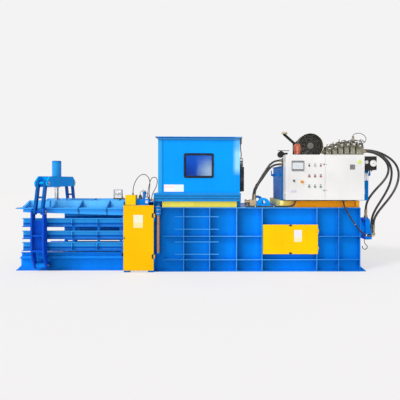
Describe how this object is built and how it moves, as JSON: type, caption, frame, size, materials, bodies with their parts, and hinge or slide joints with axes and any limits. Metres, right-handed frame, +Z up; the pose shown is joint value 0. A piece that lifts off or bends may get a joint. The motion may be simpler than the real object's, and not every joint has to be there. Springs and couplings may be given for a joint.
{
  "type": "recycling baler",
  "caption": "Horizontal hydraulic baling press with feed hopper, squeezed exit chute, wire-tying station, oil power unit and control cabinet.",
  "frame": {"origin": "on the floor, under the middle of the machine's bounding box", "axes": "+X towards the power unit and away from the exit, -Y the operator's side, +Z up"},
  "size_m": [6.752, 1.576, 2.41],
  "materials": {
    "blue_paint": "gloss",
    "hopper_blue": "gloss",
    "yellow_paint": "gloss",
    "pale_yellow_paint": "gloss",
    "orange_paint": "gloss",
    "white_paint": "satin",
    "dark_paint": "satin",
    "grey_paint": "satin",
    "chrome_rod": "polished",
    "steel": "satin",
    "plated_brass": "satin",
    "copper_coat": "satin",
    "hose_rubber": "matte",
    "seal_rubber": "matte",
    "window_glass": "clear",
    "black_plastic": "matte",
    "red_plastic": "gloss",
    "green_plastic": "gloss",
    "beacon_orange": "gloss"
  },
  "bodies": {
    "frame": {"near_side_wall": "blue_paint", "far_side_wall": "blue_paint", "chamber_floor": "blue_paint", "rear_roof": "blue_paint", "rear_end_frame": "blue_paint", "tying_frame": "blue_paint", "chute_base": "blue_paint", "guard_post": "yellow_paint", "main_cylinder": "blue_paint", "pipe_fittings": "plated_brass", "hopper_shell": "hopper_blue", "window_seal": "seal_rubber", "window_pane": "window_glass", "hopper_sills": "blue_paint", "feed_bars": "pale_yellow_paint", "junction_box": "grey_paint", "tank_base": "orange_paint", "oil_tank": "blue_paint", "drive_motor": "dark_paint", "hydraulic_pump": "dark_paint", "valve_stack": "dark_paint", "cabinet_shell": "white_paint", "switchgear": "grey_paint", "gauge_box": "dark_paint", "warning_beacon": "beacon_orange", "tank_pipework": "dark_paint", "wire_cylinder": "blue_paint", "pressure_hoses": "hose_rubber", "return_hoses": "hose_rubber", "tying_cables": "hose_rubber", "conduits": "hose_rubber"},
    "press": {"press_plate": "blue_paint"},
    "yoke": {"squeeze_yoke": "blue_paint", "squeeze_barrel": "blue_paint"},
    "rod": {"squeeze_rod": "chrome_rod"},
    "near_lever_body": {"near_lever": "blue_paint"},
    "far_lever_body": {"far_lever": "blue_paint"},
    "near_link_body": {"near_links": "blue_paint"},
    "far_link_body": {"far_links": "blue_paint"},
    "near_bars": {"near_side_bars": "blue_paint"},
    "far_bars": {"far_side_bars": "blue_paint"},
    "ram_body": {"ram": "blue_paint", "ram_rod": "chrome_rod"},
    "door": {"guard_door": "yellow_paint"},
    "cover": {"access_cover": "yellow_paint"},
    "left_door": {"cabinet_door_left": "white_paint", "touch_screen": "black_plastic"},
    "right_door": {"cabinet_door_right": "white_paint"},
    "selector": {"selector_switch": "black_plastic"},
    "stop_button": {"emergency_stop": "red_plastic"},
    "fan": {"fan_rotor": "black_plastic"},
    "roller": {"guide_roller": "copper_coat"},
    "arm": {"wheel_arm": "dark_paint"},
    "wheel": {"bale_wheel": "steel"},
    "button_pump_stop_body": {"button_pump_stop": "red_plastic"},
    "button_ram_stop_body": {"button_ram_stop": "red_plastic"},
    "button_squeeze_stop_body": {"button_squeeze_stop": "red_plastic"},
    "button_pump_start_body": {"button_pump_start": "green_plastic"},
    "button_ram_start_body": {"button_ram_start": "green_plastic"},
    "button_squeeze_start_body": {"button_squeeze_start": "green_plastic"}
  },
  "joints": [
    {"name": "press_plate_hinge", "type": "hinge", "parent": "frame", "child": "press", "pos_m": [-1.338, 0, 1.12], "axis": [0, 1, 0], "range_deg": [-1.5, 0]},
    {"name": "yoke_lift", "type": "slide", "parent": "frame", "child": "yoke", "axis": [0, 0, 1], "range_m": [0, 0.0083]},
    {"name": "squeeze_rod_stroke", "type": "slide", "parent": "yoke", "child": "rod", "axis": [0, 0, -1], "range_m": [0, 0.0436]},
    {"name": "near_lever_pivot", "type": "hinge", "parent": "frame", "child": "near_lever_body", "pos_m": [-2.68, -0.622, 0.105], "axis": [1, 0, 0], "range_deg": [-1.63, 0]},
    {"name": "far_lever_pivot", "type": "hinge", "parent": "frame", "child": "far_lever_body", "pos_m": [-2.68, 0.622, 0.105], "axis": [1, 0, 0], "range_deg": [0, 1.63]},
    {"name": "near_link_pivot", "type": "hinge", "parent": "yoke", "child": "near_link_body", "pos_m": [-2.68, -0.6, 1.47], "axis": [1, 0, 0], "range_deg": [0, 3.1]},
    {"name": "far_link_pivot", "type": "hinge", "parent": "yoke", "child": "far_link_body", "pos_m": [-2.68, 0.6, 1.47], "axis": [1, 0, 0], "range_deg": [-3.1, 0]},
    {"name": "near_bars_hinge", "type": "hinge", "parent": "frame", "child": "near_bars", "pos_m": [-1.33, -0.5775, 0.61], "axis": [0, 0, 1], "range_deg": [-0.61, 0]},
    {"name": "far_bars_hinge", "type": "hinge", "parent": "frame", "child": "far_bars", "pos_m": [-1.33, 0.5775, 0.61], "axis": [0, 0, 1], "range_deg": [0, 0.61]},
    {"name": "ram_stroke", "type": "slide", "parent": "frame", "child": "ram_body", "axis": [-1, 0, 0], "range_m": [0, 1.49]},
    {"name": "guard_door_hinge", "type": "hinge", "parent": "frame", "child": "door", "pos_m": [-0.79, -0.703, 0.57], "axis": [0, 0, 1], "range_deg": [0, 110]},
    {"name": "access_cover_hinge", "type": "hinge", "parent": "frame", "child": "cover", "pos_m": [1.933, -0.663, 0.54], "axis": [0, 0, 1], "range_deg": [0, 110]},
    {"name": "left_cabinet_door_hinge", "type": "hinge", "parent": "frame", "child": "left_door", "pos_m": [1.365, -0.699, 1.575], "axis": [0, 0, 1], "range_deg": [-110, 0]},
    {"name": "right_cabinet_door_hinge", "type": "hinge", "parent": "frame", "child": "right_door", "pos_m": [2.689, -0.699, 1.575], "axis": [0, 0, 1], "range_deg": [0, 110]},
    {"name": "button_pump_stop_press", "type": "slide", "parent": "left_door", "child": "button_pump_stop_body", "axis": [0, 1, 0], "range_m": [0, 0.0045], "stiffness_N_per_m": 300},
    {"name": "button_ram_stop_press", "type": "slide", "parent": "left_door", "child": "button_ram_stop_body", "axis": [0, 1, 0], "range_m": [0, 0.0045], "stiffness_N_per_m": 300},
    {"name": "button_squeeze_stop_press", "type": "slide", "parent": "left_door", "child": "button_squeeze_stop_body", "axis": [0, 1, 0], "range_m": [0, 0.0045], "stiffness_N_per_m": 300},
    {"name": "button_pump_start_press", "type": "slide", "parent": "left_door", "child": "button_pump_start_body", "axis": [0, 1, 0], "range_m": [0, 0.0045], "stiffness_N_per_m": 300},
    {"name": "button_ram_start_press", "type": "slide", "parent": "left_door", "child": "button_ram_start_body", "axis": [0, 1, 0], "range_m": [0, 0.0045], "stiffness_N_per_m": 300},
    {"name": "button_squeeze_start_press", "type": "slide", "parent": "left_door", "child": "button_squeeze_start_body", "axis": [0, 1, 0], "range_m": [0, 0.0045], "stiffness_N_per_m": 300},
    {"name": "selector_turn", "type": "hinge", "parent": "left_door", "child": "selector", "pos_m": [1.512, -0.73, 1.518], "axis": [0, 1, 0], "range_deg": [-45, 45]},
    {"name": "emergency_stop_press", "type": "slide", "parent": "left_door", "child": "stop_button", "axis": [0, 1, 0], "range_m": [0, 0.0045], "stiffness_N_per_m": 400},
    {"name": "fan_spin", "type": "hinge", "parent": "frame", "child": "fan", "pos_m": [1.9, -0.2, 2.136], "axis": [0, 1, 0], "continuous": true},
    {"name": "roller_spin", "type": "hinge", "parent": "frame", "child": "roller", "pos_m": [-0.738, -0.645, 0.62], "axis": [0, 0, 1], "continuous": true},
    {"name": "wheel_arm_lift", "type": "hinge", "parent": "frame", "child": "arm", "pos_m": [-1.27, -0.2, 1.192], "axis": [0, 1, 0], "range_deg": [0, 35]},
    {"name": "bale_wheel_spin", "type": "hinge", "parent": "arm", "child": "wheel", "pos_m": [-1.515, -0.2, 1.28], "axis": [0, 1, 0], "continuous": true}
  ],
  "couplings": [
    {"joint": "yoke_lift", "follows": "press_plate_hinge", "m_per_rad": -0.3107},
    {"joint": "squeeze_rod_stroke", "follows": "press_plate_hinge", "m_per_rad": -1.6552},
    {"joint": "near_lever_pivot", "follows": "press_plate_hinge", "ratio": 1.0667},
    {"joint": "far_lever_pivot", "follows": "press_plate_hinge", "ratio": -1.0667},
    {"joint": "near_link_pivot", "follows": "press_plate_hinge", "ratio": -2.022},
    {"joint": "far_link_pivot", "follows": "press_plate_hinge", "ratio": 2.022},
    {"joint": "near_bars_hinge", "follows": "press_plate_hinge", "ratio": 0.39422},
    {"joint": "far_bars_hinge", "follows": "press_plate_hinge", "ratio": -0.39422}
  ]
}
